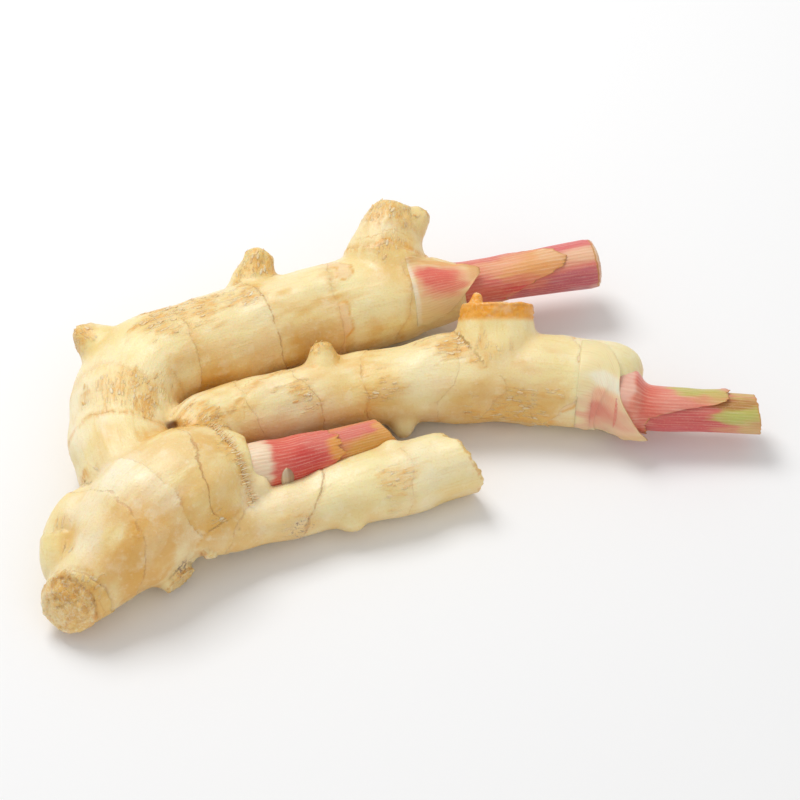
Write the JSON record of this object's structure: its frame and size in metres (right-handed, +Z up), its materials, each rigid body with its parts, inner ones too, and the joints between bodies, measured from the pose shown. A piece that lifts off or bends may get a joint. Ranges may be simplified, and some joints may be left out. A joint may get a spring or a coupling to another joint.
{
  "type": "ginger root",
  "caption": "Fresh young ginger root lying flat: plump pale fingers grown from a cut heel, with pink sheathed shoot stubs and papery scale leaves at their ends",
  "frame": {"origin": "on the plane the root lies on, under the middle of its outline", "axes": "+Z up from the plane it lies on; +X along the fingers, from the bend and the heel to the shoot tips; +Y from the cut heel to the back finger"},
  "size_m": [0.1949, 0.1377, 0.0319],
  "materials": {
    "ginger_skin": null,
    "shoot_core": null,
    "shoot_sheath": null,
    "scale_leaf": null
  },
  "bodies": {
    "root": {"rhizome": "ginger_skin", "back_shoot": "shoot_core", "middle_shoot": "shoot_core", "centre_shoot": "shoot_core", "back_shoot_sheath": "shoot_sheath", "middle_shoot_sheath": "shoot_sheath", "centre_shoot_sheath": "shoot_sheath", "back_scale_leaf": "scale_leaf", "middle_scale_leaf": "scale_leaf"}
  },
  "joints": []
}
